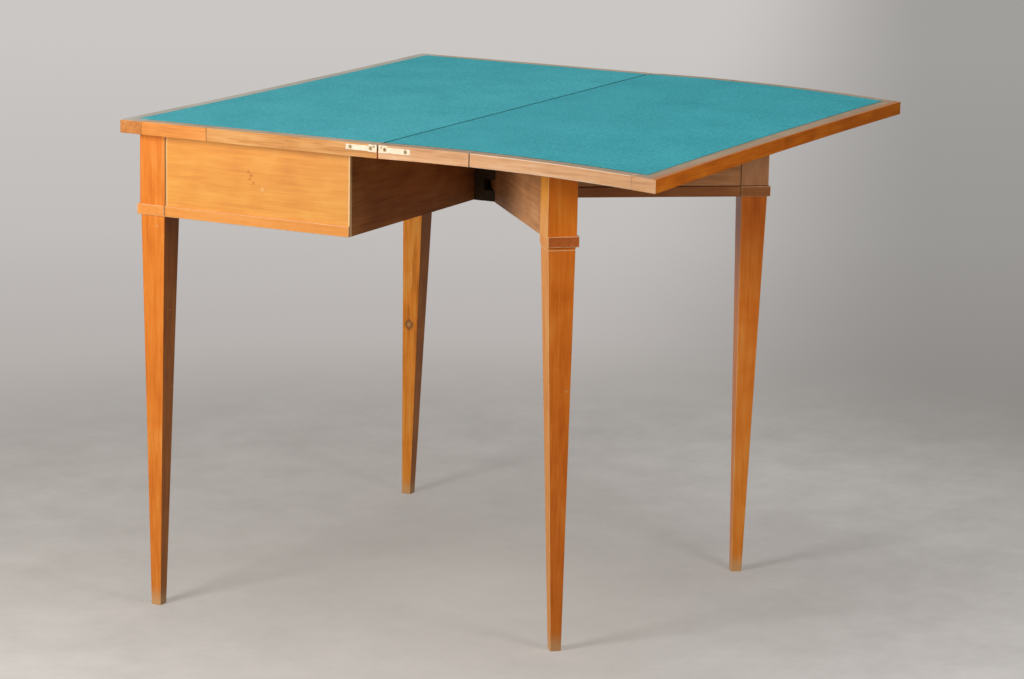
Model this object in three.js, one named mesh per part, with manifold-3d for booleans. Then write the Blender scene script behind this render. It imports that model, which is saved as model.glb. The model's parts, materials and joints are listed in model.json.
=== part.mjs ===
// A fold-over games table, open, with both rear legs swung out under the leaf.
// Lengths are millimetres and angles degrees. The origin is on the floor under the middle of the
// fold. X runs along the fold, with the near side at +X. The front of the closed table faces -Y,
// the open leaf lies towards +Y, and Z is up.
import * as THREE from "three";
import { mergeVertices } from "three/addons/utils/BufferGeometryUtils.js";
import Module from "manifold-3d";

const wasm = await Module();
wasm.setup();

// The top: two boards that meet at the fold.
const tableHeight = 750;
const tableWidth = 918;
const halfDepth = 432.5;
const boardThickness = 19.5;
const foldGap = 2.5;
const edgeHollow = 5.5;
const frontLippingWidth = 37;
const sideLippingWidth = 22;
const fixedLippingJoint = 148;
const leafLippingJoint = 146;
const leafCrown = 4.8;
const leafDroopNear = 10;
const leafDroopFar = 12;

// The cloth, held on by a thin line of glue.
const baizeThickness = 0.75;
const baizeGlueLine = 0.15;
const baizeFrontBorder = 20;
const baizeLeafBorder = 22;
const baizeSideBorder = 22;
const baizeFoldMargin = 0.6;

// The frame under the fixed board.
const sideOverhang = 37.5;
const frontOverhang = 9.5;
const apronHeight = 125.2;
const frontApronThickness = 20;
const sideApronThickness = 20;
const backApronThickness = 22;
const backApronSetback = 65.5;
const rebateLip = 6.5;
const glueLine = 0.3;
const tenonThickness = 8;
const tenonLength = 25;
const tenonShoulder = 15;
const glueBlockSide = 18;
const glueBlockLength = 60;
const glueBlockSpacing = 420;

// The legs and the bands round them.
const postSide = 43.5;
const legStep = 1.3;
const footSide = 16.3;
const footShiftX = 8.2;
const footShiftY = 9.5;
const bandHeight = 16;
const bandProud = 3;

// The swing legs, their rails and the wooden knuckle joint between them.
const closedLegSetback = 21.2;
const swingTopDrop = 7.3;
const railThickness = 26.6;
const pivotSpread = 31.6;
const knuckleLayers = 7;
const knuckleClearance = 1;
const fingerClearance = 0.3;
const fingerReach = 24.2;
const railBandStart = 31;
const knucklePinRadius = 4;
const pinClearance = 0.05;
const nearOpenAngle = 41.4;
const farOpenAngle = 54.2;

// The brass link hinges, let into the side edges of the boards.
const hingePinOffset = 6;
const hingePinDepth = 3.3;
const hingePinRadius = 1.5;
const plateThickness = 2.6;
const plateTopDrop = 0.2;
const plateFoldMargin = 0.15;
const plateHeadLength = 15;
const plateHeadHeight = 11.2;
const plateTailLength = 52;
const plateTailDrop = 2.4;
const plateTailHeight = 8;
const plateFit = 0.1;
const linkThickness = 2.5;
const linkRadius = 3;
const linkClearance = 0.3;
const screwHeadRadius = 2.7;
const screwHeadDepth = 1.9;
const screwShankRadius = 1.3;
const screwLength = 9.5;
const screwClearance = 0.12;
const screwSlotWidth = 0.8;
const screwSlotDepth = 0.7;
const innerScrewPlace = 11.5;
const innerScrewDepth = 6.1;
const outerScrewPlace = 44.5;
const outerScrewDepth = 6.4;

// How far every cutting shape runs past what it cuts, and how close points are to be one point.
const overrun = 1;
const weldDistance = 0.0001;
const roundSegments = 24;
const smallRoundSegments = 16;
const arcSegments = 7;
const edgeColumns = 12;
const boardRows = 12;

// Places worked out from the sizes above.
const halfWidth = tableWidth / 2;
const foldEdge = foldGap / 2;
const boardUnderside = tableHeight - boardThickness;
const frameBottom = boardUnderside - apronHeight;
const frameSide = halfWidth - sideOverhang;
const frameFront = -halfDepth + frontOverhang;
const postHalf = postSide / 2;
const frontLegX = frameSide - postHalf;
const frontLegY = frameFront + postHalf;
const backApronFace = -backApronSetback;
const swingTop = boardUnderside - swingTopDrop;
const railHalf = railThickness / 2;
const pivotX = pivotSpread / 2;
const pivotY = -closedLegSetback - railHalf;
const railEnd = frameSide - postSide - glueLine - pivotX;
const swingLegX = frontLegX - pivotX;
const swingLegY = -closedLegSetback - postHalf - pivotY;
const coreSide = halfWidth - sideLippingWidth;
const coreEdge = halfDepth - frontLippingWidth;

const honeyWood = { color: 0xd98b3f, roughness: 0.45, metalness: 0 };
const shadedWood = { color: 0x7a4a28, roughness: 0.6, metalness: 0 };
const edgeWood = { color: 0xdba477, roughness: 0.5, metalness: 0 };
const coreWood = { color: 0xc08a55, roughness: 0.6, metalness: 0 };
const baizeCloth = { color: 0x459fa6, roughness: 0.95, metalness: 0 };
const brass = { color: 0xe3c77e, roughness: 0.35, metalness: 1 };
const iron = { color: 0x55504a, roughness: 0.5, metalness: 1 };

// A geometry as a solid that can be cut and joined.
function solidOf(geometry) {
  const bare = new THREE.BufferGeometry();
  bare.setAttribute("position", geometry.getAttribute("position"));
  bare.setIndex(geometry.index);
  const welded = mergeVertices(bare, weldDistance);
  return new wasm.Manifold(
    new wasm.Mesh({
      numProp: 3,
      vertProperties: welded.getAttribute("position").array,
      triVerts: new Uint32Array(welded.index.array),
    }),
  );
}

// A cut or joined solid as a geometry again.
function geometryOf(solid) {
  const mesh = solid.getMesh();
  const geometry = new THREE.BufferGeometry();
  geometry.setAttribute("position", new THREE.BufferAttribute(mesh.vertProperties, 3));
  geometry.setIndex(new THREE.BufferAttribute(mesh.triVerts, 1));
  return geometry;
}

function joined(...geometries) {
  return geometryOf(geometries.map(solidOf).reduce((whole, next) => whole.add(next)));
}

function cut(geometry, ...tools) {
  return geometryOf(tools.map(solidOf).reduce((whole, tool) => whole.subtract(tool), solidOf(geometry)));
}

// The same shape on the other side of the table: X turned over, and each face turned back.
function mirrored(geometry) {
  const turned = mergeVertices(bareCopy(geometry), weldDistance).scale(-1, 1, 1);
  const corners = turned.index.array;
  for (let corner = 0; corner < corners.length; corner += 3) {
    const first = corners[corner];
    corners[corner] = corners[corner + 1];
    corners[corner + 1] = first;
  }
  return turned;
}

function bareCopy(geometry) {
  const bare = new THREE.BufferGeometry();
  bare.setAttribute("position", geometry.getAttribute("position").clone());
  bare.setIndex(geometry.index.clone());
  return bare;
}

// A box between two limits on each axis, in either order.
function box([x0, x1], [y0, y1], [z0, z1]) {
  const shape = new THREE.BoxGeometry(Math.abs(x1 - x0), Math.abs(y1 - y0), Math.abs(z1 - z0));
  return shape.translate((x0 + x1) / 2, (y0 + y1) / 2, (z0 + z1) / 2);
}

// A plan outline raised from one height to another.
function raised(outline, bottom, top) {
  const shape = new THREE.ExtrudeGeometry(outline, {
    depth: top - bottom,
    bevelEnabled: false,
    curveSegments: arcSegments,
  });
  return withIndex(shape.translate(0, 0, bottom));
}

// An outline in Y and Z, carried along X.
function carriedAlongX(points, x0, x1) {
  const outline = new THREE.Shape(points.map(([y, z]) => new THREE.Vector2(y, z)));
  const shape = new THREE.ExtrudeGeometry(outline, { depth: x1 - x0, bevelEnabled: false });
  const turn = new THREE.Matrix4().makeBasis(
    new THREE.Vector3(0, 1, 0),
    new THREE.Vector3(0, 0, 1),
    new THREE.Vector3(1, 0, 0),
  );
  return withIndex(shape.applyMatrix4(turn).translate(x0, 0, 0));
}

function withIndex(geometry) {
  geometry.deleteAttribute("normal");
  geometry.deleteAttribute("uv");
  return mergeVertices(geometry, weldDistance);
}

// An upright round bar.
function uprightRod(radius, x, y, bottom, top) {
  const shape = new THREE.CylinderGeometry(radius, radius, top - bottom, roundSegments);
  return shape.rotateX(Math.PI / 2).translate(x, y, (bottom + top) / 2);
}

// A round bar along X, with a radius of its own at each end.
function crossRod(radius0, radius1, x0, x1, y, z) {
  const shape = new THREE.CylinderGeometry(radius1, radius0, x1 - x0, smallRoundSegments);
  return shape.rotateZ(-Math.PI / 2).translate((x0 + x1) / 2, y, z);
}

// A closed slab on a grid. corner(u, v, level) gives the point at the shares u and v of the
// slab's width and depth, on its lower face for level 0 and its upper face for level 1.
function gridSlab(columns, rows, corner) {
  const positions = [];
  const faces = [];
  const at = (i, j, level) => (i * (rows + 1) + j) * 2 + level;
  const quad = (a, b, c, d) => faces.push(a, b, c, a, c, d);
  for (let i = 0; i <= columns; i += 1) {
    for (let j = 0; j <= rows; j += 1) {
      positions.push(...corner(i / columns, j / rows, 0));
      positions.push(...corner(i / columns, j / rows, 1));
    }
  }
  for (let i = 0; i < columns; i += 1) {
    for (let j = 0; j < rows; j += 1) {
      quad(at(i, j, 1), at(i + 1, j, 1), at(i + 1, j + 1, 1), at(i, j + 1, 1));
      quad(at(i, j, 0), at(i, j + 1, 0), at(i + 1, j + 1, 0), at(i + 1, j, 0));
    }
    quad(at(i, 0, 0), at(i + 1, 0, 0), at(i + 1, 0, 1), at(i, 0, 1));
    quad(at(i + 1, rows, 0), at(i, rows, 0), at(i, rows, 1), at(i + 1, rows, 1));
  }
  for (let j = 0; j < rows; j += 1) {
    quad(at(0, j + 1, 0), at(0, j, 0), at(0, j, 1), at(0, j + 1, 1));
    quad(at(columns, j, 0), at(columns, j + 1, 0), at(columns, j + 1, 1), at(columns, j, 1));
  }
  const geometry = new THREE.BufferGeometry();
  geometry.setAttribute("position", new THREE.Float32BufferAttribute(positions, 3));
  geometry.setIndex(faces);
  return geometry;
}

// How far an outer long edge stands in from the corners' line at x: a shallow hollow in plan.
function hollowAt(x) {
  return edgeHollow * (1 - (x / halfWidth) ** 2);
}

// The height of the leaf's upper face: it crowns along its depth and droops to its free edge,
// a little more on the far side than on the near side.
function leafTopAt(x, y) {
  const share = y / halfDepth;
  const droop = (leafDroopNear + leafDroopFar + ((leafDroopNear - leafDroopFar) * x) / halfWidth) / 2;
  return tableHeight + 4 * leafCrown * share * (1 - share) - droop * share;
}

function fixedTopAt() {
  return tableHeight;
}

// A piece of a board between two X limits and two Y outlines, under the upper face topAt,
// from the height low to the height high above that face.
function boardPiece([x0, x1], [yLow, yHigh], topAt, [low, high], columns, rows) {
  return gridSlab(columns, rows, (u, v, level) => {
    const x = x0 + (x1 - x0) * u;
    const y = yLow(x) + (yHigh(x) - yLow(x)) * v;
    return [x, y, topAt(x, y) + (level ? high : low)];
  });
}

const straight = (y) => () => y;
const boardLevels = [-boardThickness, 0];
const baizeLevels = [baizeGlueLine, baizeGlueLine + baizeThickness];

// The outline of one hinge plate in Y and Z, on the board that lies towards the sign toward.
function plateOutline(toward, spare) {
  const head = foldEdge + plateFoldMargin - spare;
  const points = [
    [head, -plateTopDrop + spare],
    [plateHeadLength + spare, -plateTopDrop + spare],
    [plateHeadLength + spare, -plateTailDrop + spare],
    [plateTailLength + spare, -plateTailDrop + spare],
    [plateTailLength + spare, -plateTailDrop - plateTailHeight - spare],
    [plateHeadLength + spare, -plateTailDrop - plateTailHeight - spare],
    [plateHeadLength + spare, -plateHeadHeight - spare],
    [head, -plateHeadHeight - spare],
  ];
  return points.map(([y, z]) => [toward * y, tableHeight + z]);
}

const screwPlaces = [
  ["inner", innerScrewPlace, innerScrewDepth],
  ["outer", outerScrewPlace, outerScrewDepth],
];
const plateBack = halfWidth - plateThickness;
const linkFace = plateBack - linkClearance;
const linkBack = linkFace - linkThickness;

// What one hinge takes out of the near side lipping of a board.
function hingeRecess(toward) {
  const reach = hingePinOffset + linkRadius + linkClearance;
  const depth = hingePinDepth + linkRadius + linkClearance;
  const recess = carriedAlongX(
    plateOutline(toward, plateFit),
    plateBack - plateFit,
    halfWidth + overrun,
  );
  const pocket = box(
    [linkBack - linkClearance, halfWidth + overrun],
    [0, toward * reach],
    [tableHeight - depth, tableHeight + overrun],
  );
  const holes = screwPlaces.map(([, place, drop]) =>
    crossRod(
      screwShankRadius + screwClearance,
      screwShankRadius + screwClearance,
      halfWidth - screwLength - plateFit,
      halfWidth,
      toward * place,
      tableHeight - drop,
    ),
  );
  return [recess, pocket, ...holes];
}

function hingePlate(toward) {
  const plate = carriedAlongX(plateOutline(toward, 0), plateBack, halfWidth);
  const pinHole = crossRod(
    hingePinRadius + pinClearance,
    hingePinRadius + pinClearance,
    plateBack - overrun,
    halfWidth + overrun,
    toward * hingePinOffset,
    tableHeight - hingePinDepth,
  );
  const sinks = screwPlaces.flatMap(([, place, drop]) => [
    crossRod(
      screwShankRadius + screwClearance,
      screwHeadRadius + screwClearance,
      halfWidth - screwHeadDepth,
      halfWidth,
      toward * place,
      tableHeight - drop,
    ),
    crossRod(
      screwShankRadius + screwClearance,
      screwShankRadius + screwClearance,
      plateBack - overrun,
      halfWidth - screwHeadDepth / 2,
      toward * place,
      tableHeight - drop,
    ),
  ]);
  return cut(plate, pinHole, ...sinks);
}

// The screw's slot stands at its own angle to the plate.
function hingeScrew(toward, place, drop, slotAngle) {
  const head = crossRod(
    screwShankRadius,
    screwHeadRadius,
    halfWidth - screwHeadDepth,
    halfWidth - pinClearance,
    0,
    0,
  );
  const shank = crossRod(
    screwShankRadius / 2,
    screwShankRadius,
    halfWidth - screwLength,
    halfWidth - screwHeadDepth,
    0,
    0,
  );
  const slot = box(
    [halfWidth - screwSlotDepth, halfWidth + overrun],
    [-screwSlotWidth / 2, screwSlotWidth / 2],
    [-screwHeadRadius - overrun, screwHeadRadius + overrun],
  );
  const screw = cut(joined(head, shank), slot);
  screw.rotateX(THREE.MathUtils.degToRad(slotAngle));
  return screw.translate(0, toward * place, tableHeight - drop);
}

// The link: a flat bar with round ends, turning on a pin of each plate.
function hingeLink() {
  const z = tableHeight - hingePinDepth;
  const bar = box(
    [linkBack, linkFace],
    [-hingePinOffset, hingePinOffset],
    [z - linkRadius, z + linkRadius],
  );
  const ends = [-1, 1].map((toward) =>
    crossRod(linkRadius, linkRadius, linkBack, linkFace, toward * hingePinOffset, z),
  );
  const holes = [-1, 1].map((toward) =>
    crossRod(
      hingePinRadius + pinClearance,
      hingePinRadius + pinClearance,
      linkBack - overrun,
      linkFace + overrun,
      toward * hingePinOffset,
      z,
    ),
  );
  return cut(joined(bar, ...ends), ...holes);
}

function hingePin(toward) {
  return crossRod(
    hingePinRadius,
    hingePinRadius,
    linkBack,
    halfWidth - pinClearance,
    toward * hingePinOffset,
    tableHeight - hingePinDepth,
  );
}

// A leg about the middle of its post: a square post with a tapered leg stepped in below the band.
// outward is the Y direction of its outer face. The mortises are cut in from the post's faces.
function leg(outward, top, mortises) {
  const stepHalf = postHalf - legStep;
  const rings = [
    [-footShiftX, outward * footShiftY, footSide / 2, 0],
    [0, 0, stepHalf, frameBottom],
    [0, 0, postHalf, frameBottom],
    [0, 0, postHalf, top],
  ];
  return cut(squareLoft(rings), ...mortises);
}

// A closed solid through square rings, each given as its centre, half side and height, from
// the lowest up.
function squareLoft(rings) {
  const positions = rings.flatMap(([x, y, half, z]) => [
    [x - half, y - half, z],
    [x + half, y - half, z],
    [x + half, y + half, z],
    [x - half, y + half, z],
  ]);
  const faces = [0, 2, 1, 0, 3, 2];
  for (let ring = 0; ring + 1 < rings.length; ring += 1) {
    for (let side = 0; side < 4; side += 1) {
      const a = 4 * ring + side;
      const b = 4 * ring + ((side + 1) % 4);
      faces.push(a, b, b + 4, a, b + 4, a + 4);
    }
  }
  const last = 4 * (rings.length - 1);
  faces.push(last, last + 1, last + 2, last, last + 2, last + 3);
  const geometry = new THREE.BufferGeometry();
  geometry.setAttribute("position", new THREE.Float32BufferAttribute(positions.flat(), 3));
  geometry.setIndex(faces);
  return geometry;
}

// The band on a leg's two outer faces: an L in plan, mitred at the leg's outer corner.
function legBand(outward) {
  const inner = postHalf + glueLine;
  const outer = postHalf + bandProud;
  const outline = new THREE.Shape(
    [
      [-postHalf, outward * inner],
      [inner, outward * inner],
      [inner, -outward * postHalf],
      [outer, -outward * postHalf],
      [outer, outward * outer],
      [-postHalf, outward * outer],
    ].map(([x, y]) => new THREE.Vector2(x, y)),
  );
  return raised(outline, frameBottom, frameBottom + bandHeight);
}

// A hole for a tenon, entering a post through its inner X face at the height range given.
function mortiseAcross(y, bottom, top) {
  return box(
    [-postHalf - overrun, -postHalf + tenonLength + glueLine],
    [y - tenonThickness / 2 - glueLine, y + tenonThickness / 2 + glueLine],
    [bottom + tenonShoulder - glueLine, top - tenonShoulder + glueLine],
  );
}

function mortiseAlong(x, bottom, top) {
  return box(
    [x - tenonThickness / 2 - glueLine, x + tenonThickness / 2 + glueLine],
    [postHalf + overrun, postHalf - tenonLength - glueLine],
    [bottom + tenonShoulder - glueLine, top - tenonShoulder + glueLine],
  );
}

const frontApronMiddle = frameFront + frontApronThickness / 2;
const sideApronMiddle = frameSide - sideApronThickness / 2;
const apronFrontEnd = frameFront + postSide + glueLine;

function frontLeg() {
  return leg(-1, boardUnderside, [
    mortiseAcross(frontApronMiddle - frontLegY, frameBottom, boardUnderside),
    mortiseAlong(sideApronMiddle - frontLegX, frameBottom, boardUnderside),
  ]);
}

function swingLeg() {
  return leg(1, swingTop, [mortiseAcross(-swingLegY, frameBottom, swingTop)]);
}

function frontApron() {
  const end = frameSide - postSide - glueLine;
  const board = box(
    [-end, end],
    [frameFront, frameFront + frontApronThickness],
    [frameBottom, boardUnderside],
  );
  const tenon = box(
    [-end - tenonLength, end + tenonLength],
    [frontApronMiddle - tenonThickness / 2, frontApronMiddle + tenonThickness / 2],
    [frameBottom + tenonShoulder, boardUnderside - tenonShoulder],
  );
  return joined(board, tenon);
}

// The near side apron, with a tenon for the front leg and a rebate for the back apron.
function sideApron() {
  const inner = frameSide - sideApronThickness;
  const board = box([inner, frameSide], [apronFrontEnd, backApronFace], [frameBottom, boardUnderside]);
  const tenon = box(
    [sideApronMiddle - tenonThickness / 2, sideApronMiddle + tenonThickness / 2],
    [apronFrontEnd - tenonLength, apronFrontEnd + overrun],
    [frameBottom + tenonShoulder, boardUnderside - tenonShoulder],
  );
  const rebate = box(
    [inner - overrun, frameSide - rebateLip],
    [backApronFace - backApronThickness - glueLine, backApronFace + overrun],
    [frameBottom - overrun, boardUnderside + overrun],
  );
  return cut(joined(board, tenon), rebate);
}

function backApron() {
  const end = frameSide - rebateLip - glueLine;
  return box(
    [-end, end],
    [backApronFace - backApronThickness, backApronFace],
    [frameBottom, boardUnderside],
  );
}

// A glue block: a three-cornered stick under the board, against the inner face of an apron.
function glueBlock(x, face, toward) {
  const section = [
    [face, boardUnderside],
    [face + toward * glueBlockSide, boardUnderside],
    [face, boardUnderside - glueBlockSide],
  ];
  return carriedAlongX(section, x - glueBlockLength / 2, x + glueBlockLength / 2);
}

const swingHeight = swingTop - frameBottom;
const layerHeight = swingHeight / knuckleLayers;

// The height range of one finger of the knuckle joint, counted from the bottom.
function fingerRange(layer) {
  const bottom = frameBottom + layer * layerHeight;
  return [bottom + fingerClearance / 2, bottom + layerHeight - fingerClearance / 2];
}

// The knuckle block on the back apron. Its even fingers reach past both pins, which they hold.
function knuckleBlock() {
  const ends = [-pivotX - fingerReach, pivotX + fingerReach];
  const back = pivotY - railHalf - knuckleClearance;
  const backing = box(ends, [backApronFace + glueLine, back], [frameBottom, swingTop]);
  const fingers = [];
  for (let layer = 0; layer < knuckleLayers; layer += 2) {
    fingers.push(box(ends, [back - overrun, pivotY + railHalf], fingerRange(layer)));
  }
  const holes = [-pivotX, pivotX].map((x) =>
    uprightRod(knucklePinRadius + pinClearance, x, pivotY, frameBottom - overrun, swingTop + overrun),
  );
  return cut(joined(backing, ...fingers), ...holes);
}

// A swing rail about its pivot, closed: its odd fingers turn on the pin, and between them its
// end is hollowed to clear the fingers of the block.
function swingRail() {
  const clear = Math.hypot(fingerReach, railHalf + knuckleClearance) + knuckleClearance;
  const hollow = Math.asin(railHalf / clear);
  const body = new THREE.Shape();
  body.moveTo(railEnd, -railHalf);
  body.lineTo(railEnd, railHalf);
  body.lineTo(clear * Math.cos(hollow), railHalf);
  body.absarc(0, 0, clear, hollow, -hollow, true);
  const finger = new THREE.Shape();
  finger.moveTo(clear + overrun, -railHalf);
  finger.lineTo(clear + overrun, railHalf);
  finger.lineTo(0, railHalf);
  finger.absarc(0, 0, railHalf, Math.PI / 2, -Math.PI / 2, false);
  const pieces = [raised(body, frameBottom, swingTop)];
  for (let layer = 1; layer < knuckleLayers; layer += 2) {
    pieces.push(raised(finger, ...fingerRange(layer)));
  }
  pieces.push(
    box(
      [railEnd - overrun, railEnd + tenonLength],
      [-tenonThickness / 2, tenonThickness / 2],
      [frameBottom + tenonShoulder, swingTop - tenonShoulder],
    ),
  );
  const hole = uprightRod(
    knucklePinRadius + pinClearance,
    0,
    0,
    frameBottom - overrun,
    swingTop + overrun,
  );
  return cut(joined(...pieces), hole);
}

function railBand() {
  return box(
    [railBandStart, railEnd],
    [railHalf + glueLine, railHalf + bandProud],
    [frameBottom, frameBottom + bandHeight],
  );
}

function knucklePin(x) {
  return uprightRod(knucklePinRadius, x, pivotY, frameBottom, swingTop);
}

// A named piece with its own material.
function piece(name, geometry, finish) {
  const drawn = geometry.toNonIndexed();
  drawn.computeVertexNormals();
  const mesh = new THREE.Mesh(drawn, new THREE.MeshStandardMaterial(finish));
  mesh.name = name;
  return mesh;
}

// A piece of the near side and the same piece mirrored on the far side.
function pair(name, geometry, finish) {
  return [
    piece(name + "_near", geometry, finish),
    piece(name + "_far", mirrored(geometry), finish),
  ];
}

// The fixed half of the top: core board, lippings and baize.
function fixedTop() {
  const group = new THREE.Group();
  const front = (x) => -halfDepth + hollowAt(x);
  const joint = -halfDepth + fixedLippingJoint;
  const side = [coreSide, halfWidth];
  const core = boardPiece(
    [-coreSide, coreSide],
    [straight(-coreEdge), straight(-foldEdge)],
    fixedTopAt,
    boardLevels,
    1,
    1,
  );
  const edge = boardPiece(
    [-halfWidth, halfWidth],
    [front, straight(-coreEdge)],
    fixedTopAt,
    boardLevels,
    edgeColumns,
    1,
  );
  const short = boardPiece(side, [straight(-coreEdge), straight(joint)], fixedTopAt, boardLevels, 1, 1);
  const long = boardPiece(side, [straight(joint), straight(-foldEdge)], fixedTopAt, boardLevels, 1, 1);
  const cloth = boardPiece(
    [-halfWidth + baizeSideBorder, halfWidth - baizeSideBorder],
    [(x) => front(x) + baizeFrontBorder, straight(-foldEdge - baizeFoldMargin)],
    fixedTopAt,
    baizeLevels,
    edgeColumns,
    1,
  );
  group.add(piece("fixed_board", core, coreWood));
  group.add(piece("fixed_front_lipping", edge, honeyWood));
  group.add(...pair("fixed_side_lipping_short", short, honeyWood));
  group.add(...pair("fixed_side_lipping_long", cut(long, ...hingeRecess(-1)), honeyWood));
  group.add(piece("fixed_baize", cloth, baizeCloth));
  return group;
}

// The folding leaf, cupped as it has dried.
function leaf() {
  const group = new THREE.Group();
  const edgeAt = (x) => halfDepth - hollowAt(x);
  const side = [coreSide, halfWidth];
  const core = boardPiece(
    [-coreSide, coreSide],
    [straight(foldEdge), straight(coreEdge)],
    leafTopAt,
    boardLevels,
    2,
    boardRows,
  );
  const edge = boardPiece(
    [-halfWidth, halfWidth],
    [straight(coreEdge), edgeAt],
    leafTopAt,
    boardLevels,
    edgeColumns,
    2,
  );
  const short = boardPiece(
    side,
    [straight(foldEdge), straight(leafLippingJoint)],
    leafTopAt,
    boardLevels,
    1,
    boardRows / 2,
  );
  const long = boardPiece(
    side,
    [straight(leafLippingJoint), straight(coreEdge)],
    leafTopAt,
    boardLevels,
    1,
    boardRows / 2,
  );
  const cloth = boardPiece(
    [-halfWidth + baizeSideBorder, halfWidth - baizeSideBorder],
    [straight(foldEdge + baizeFoldMargin), (x) => edgeAt(x) - baizeLeafBorder],
    leafTopAt,
    baizeLevels,
    edgeColumns,
    boardRows,
  );
  const farShort = boardPiece(
    [-halfWidth, -coreSide],
    [straight(foldEdge), straight(leafLippingJoint)],
    leafTopAt,
    boardLevels,
    1,
    boardRows / 2,
  );
  const farLong = boardPiece(
    [-halfWidth, -coreSide],
    [straight(leafLippingJoint), straight(coreEdge)],
    leafTopAt,
    boardLevels,
    1,
    boardRows / 2,
  );
  group.add(piece("leaf_board", core, coreWood));
  group.add(piece("leaf_edge_lipping", edge, honeyWood));
  group.add(piece("leaf_side_lipping_short_near", cut(short, ...hingeRecess(1)), edgeWood));
  group.add(piece("leaf_side_lipping_short_far", cut(farShort, ...hingeRecess(1).map(mirrored)), edgeWood));
  group.add(piece("leaf_side_lipping_long_near", long, edgeWood));
  group.add(piece("leaf_side_lipping_long_far", farLong, edgeWood));
  group.add(piece("leaf_baize", cloth, baizeCloth));
  return group;
}

// Both hinges: a plate, a pin and two screws on each board, and the link between the pins.
function hinges() {
  const group = new THREE.Group();
  const boards = [
    ["fixed", -1],
    ["leaf", 1],
  ];
  const slotAngles = { fixed: { inner: 12, outer: 40 }, leaf: { inner: -25, outer: 75 } };
  for (const [board, toward] of boards) {
    group.add(...pair("hinge_" + board + "_plate", hingePlate(toward), brass));
    group.add(...pair("hinge_" + board + "_pin", hingePin(toward), brass));
    for (const [which, place, drop] of screwPlaces) {
      const screw = hingeScrew(toward, place, drop, slotAngles[board][which]);
      group.add(...pair("hinge_" + board + "_" + which + "_screw", screw, brass));
    }
  }
  group.add(...pair("hinge_link", hingeLink(), brass));
  return group;
}

// The frame: aprons, bands, knuckle block and glue blocks.
function frame() {
  const group = new THREE.Group();
  const end = frameSide - postSide - glueLine;
  const bandLevels = [frameBottom, frameBottom + bandHeight];
  const sideBand = box(
    [frameSide + glueLine, frameSide + bandProud],
    [apronFrontEnd, backApronFace],
    bandLevels,
  );
  const frontBand = box([-end, end], [frameFront - glueLine, frameFront - bandProud], bandLevels);
  group.add(piece("front_apron", frontApron(), honeyWood));
  group.add(...pair("side_apron", sideApron(), honeyWood));
  group.add(piece("back_apron", backApron(), shadedWood));
  group.add(piece("knuckle_block", knuckleBlock(), shadedWood));
  group.add(piece("front_apron_band", frontBand, honeyWood));
  group.add(...pair("side_apron_band", sideBand, honeyWood));
  group.add(...pair("knuckle_pin", knucklePin(pivotX), iron));
  const apronInside = frameFront + frontApronThickness + glueLine;
  const backInside = backApronFace - backApronThickness - glueLine;
  group.add(...pair("front_glue_block", glueBlock(glueBlockSpacing / 2, apronInside, 1), coreWood));
  group.add(...pair("back_glue_block", glueBlock(glueBlockSpacing / 2, backInside, -1), coreWood));
  return group;
}

// The front legs stand at the corners of the frame, each with its band.
function frontLegs() {
  const group = new THREE.Group();
  const near = frontLeg().translate(frontLegX, frontLegY, 0);
  const band = legBand(-1).translate(frontLegX, frontLegY, 0);
  group.add(...pair("front_leg", near, honeyWood));
  group.add(...pair("front_leg_band", band, honeyWood));
  return group;
}

// One swing leg with its rail, turned about its pin by the angle that it stands open.
function swingLegs(sideName, sign, openAngle) {
  const group = new THREE.Group();
  const shapes = [
    ["swing_rail_", swingRail(), shadedWood],
    ["swing_rail_band_", railBand(), honeyWood],
    ["swing_leg_", swingLeg().translate(swingLegX, swingLegY, 0), honeyWood],
    ["swing_leg_band_", legBand(1).translate(swingLegX, swingLegY, 0), honeyWood],
  ];
  for (const [name, shape, finish] of shapes) {
    group.add(piece(name + sideName, sign > 0 ? shape : mirrored(shape), finish));
  }
  group.position.set(sign * pivotX, pivotY, 0);
  group.rotation.z = sign * THREE.MathUtils.degToRad(openAngle);
  return group;
}

const table = new THREE.Group();
table.name = "games_table";
table.add(fixedTop(), leaf(), hinges(), frame(), frontLegs());
table.add(swingLegs("near", 1, nearOpenAngle));
table.add(swingLegs("far", -1, farOpenAngle));

export default table;
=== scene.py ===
import json
import math

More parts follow.
